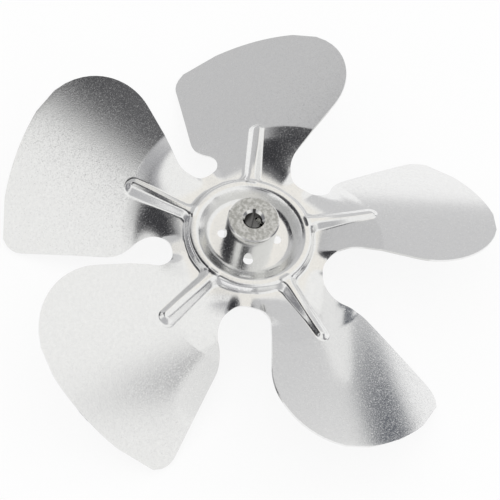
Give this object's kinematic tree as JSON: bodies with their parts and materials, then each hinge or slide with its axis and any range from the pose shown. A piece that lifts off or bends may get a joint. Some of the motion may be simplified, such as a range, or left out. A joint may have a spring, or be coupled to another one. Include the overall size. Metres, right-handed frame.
{
  "type": "axial fan impeller",
  "caption": "Pressed aluminium axial fan impeller with pitched blades, a raised centre ring and a plain hub with keyway and cross screw hole.",
  "frame": {"origin": "on the bore axis, level with the front face of the sheet at the blade roots", "axes": "+Z along the bore axis towards the hub nose, +X along the bead of one blade"},
  "size_m": [0.2226, 0.2268, 0.0472],
  "materials": {
    "wheel": "bright mill-finish aluminium sheet, lightly brushed",
    "bush": "zinc-plated machined steel, dull top face"
  },
  "bodies": {
    "root": {"wheel": "wheel", "bush": "bush"}
  },
  "joints": []
}
